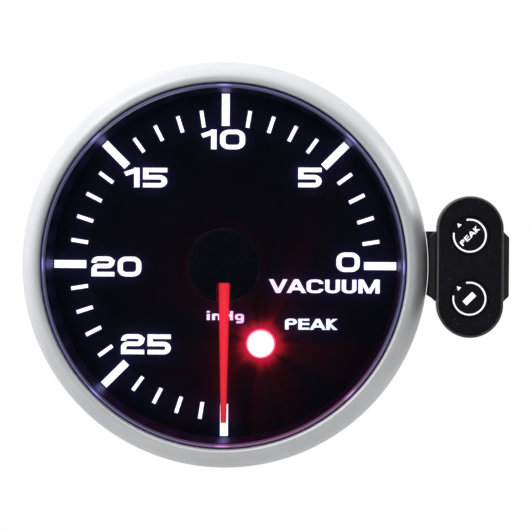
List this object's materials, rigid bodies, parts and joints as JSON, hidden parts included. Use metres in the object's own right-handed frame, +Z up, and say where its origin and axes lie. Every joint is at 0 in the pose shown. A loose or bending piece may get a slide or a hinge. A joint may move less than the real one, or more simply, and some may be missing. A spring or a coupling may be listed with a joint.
{
  "type": "vacuum gauge",
  "caption": "Round electronic panel gauge for engine vacuum, with a lit scale, pointer, peak lamp, stepper movement and a separate two-button remote switch.",
  "frame": {"origin": "on the gauge's axis, in the plane where the back of the bezel seats on the panel", "axes": "-Y is the way the dial faces, +Y runs back along the barrel, +Z is up the dial, +X is to its right"},
  "size_m": [0.0802, 0.0556, 0.067],
  "materials": {
    "bezel": "satin",
    "lens": "polished smoke",
    "seal": "matt",
    "housing": "fine grain",
    "dial": "gloss",
    "dial_ring": "gloss",
    "marks": "printed, lit from behind",
    "lamp": "clear red",
    "pointer": "lit from within",
    "hub_cap": "gloss",
    "steel": "zinc plated",
    "gear": "moulded acetal",
    "magnet": "sintered ferrite",
    "motor": "moulded",
    "copper": "enamelled copper wire",
    "bobbin": "moulded",
    "guide": "clear acrylic",
    "reflector": "white",
    "board": "solder resist",
    "led": "clear",
    "standoff": "turned",
    "chip": "moulded",
    "capacitor": "plain can",
    "socket": "moulded nylon",
    "contact": "gold flash",
    "foam": "foam tape",
    "remote": "fine grain",
    "remote_face": "printed film",
    "key": "printed",
    "plunger": "moulded",
    "switch_can": "plain can"
  },
  "bodies": {
    "gauge": {"bezel_ring": "bezel", "lens": "lens", "lens_gasket": "seal", "case": "housing", "rear_cover": "housing", "cover_screws": "steel", "dial_ring": "dial_ring", "dial_plate": "dial", "scale_marks": "marks", "peak_lamp": "lamp", "motor_arbors": "steel", "motor_case": "motor", "motor_cover": "motor", "stator": "steel", "motor_coils": "copper", "coil_bobbins": "bobbin", "light_guide": "guide", "reflector_frame": "reflector", "display_board": "board", "backlight_leds": "led", "pointer_leds": "led", "main_board": "board", "board_standoffs": "standoff", "board_screws": "steel", "board_header": "chip", "microcontroller": "chip", "voltage_regulator": "chip", "capacitors": "capacitor", "power_socket": "socket", "power_pins": "contact", "sensor_socket": "socket", "sensor_pins": "contact", "switch_socket": "socket", "switch_pins": "contact", "mounting_studs": "steel", "switch_pad": "foam", "switch_cradle": "remote", "switch_base": "remote", "switch_cover": "remote", "switch_face": "remote_face", "key_switches": "switch_can", "switch_board": "board", "key_lamps": "led", "switch_screws": "steel", "cable_grommet": "seal"},
    "needle": {"pointer": "pointer", "hub_cap": "hub_cap", "pointer_shaft": "steel", "output_wheel": "gear"},
    "idler": {"idler_gear": "gear"},
    "rotor": {"rotor_magnet": "magnet", "rotor_pinion": "gear"},
    "peak_button": {"peak_key": "key", "peak_plunger": "plunger"},
    "set_button": {"set_key": "key", "set_plunger": "plunger"}
  },
  "joints": [
    {"name": "rotor_turn", "type": "hinge", "parent": "gauge", "child": "rotor", "pos_m": [0, 0, -0.01508], "axis": [0, 1, 0], "range_deg": [0, 48600]},
    {"name": "idler_turn", "type": "hinge", "parent": "gauge", "child": "idler", "pos_m": [0, 0, -0.00832], "axis": [0, 1, 0], "range_deg": [-4050, 0]},
    {"name": "pointer_turn", "type": "hinge", "parent": "gauge", "child": "needle", "pos_m": [0, 0, 0], "axis": [0, 1, 0], "range_deg": [0, 270]},
    {"name": "peak_key_press", "type": "slide", "parent": "gauge", "child": "peak_button", "axis": [0, 1, 0], "range_m": [0, 0.0003], "stiffness_N_per_m": 2500},
    {"name": "set_key_press", "type": "slide", "parent": "gauge", "child": "set_button", "axis": [0, 1, 0], "range_m": [0, 0.0003], "stiffness_N_per_m": 2500}
  ],
  "couplings": [
    {"joint": "idler_turn", "follows": "rotor_turn", "ratio": -0.083333},
    {"joint": "pointer_turn", "follows": "rotor_turn", "ratio": 0.0055556}
  ]
}
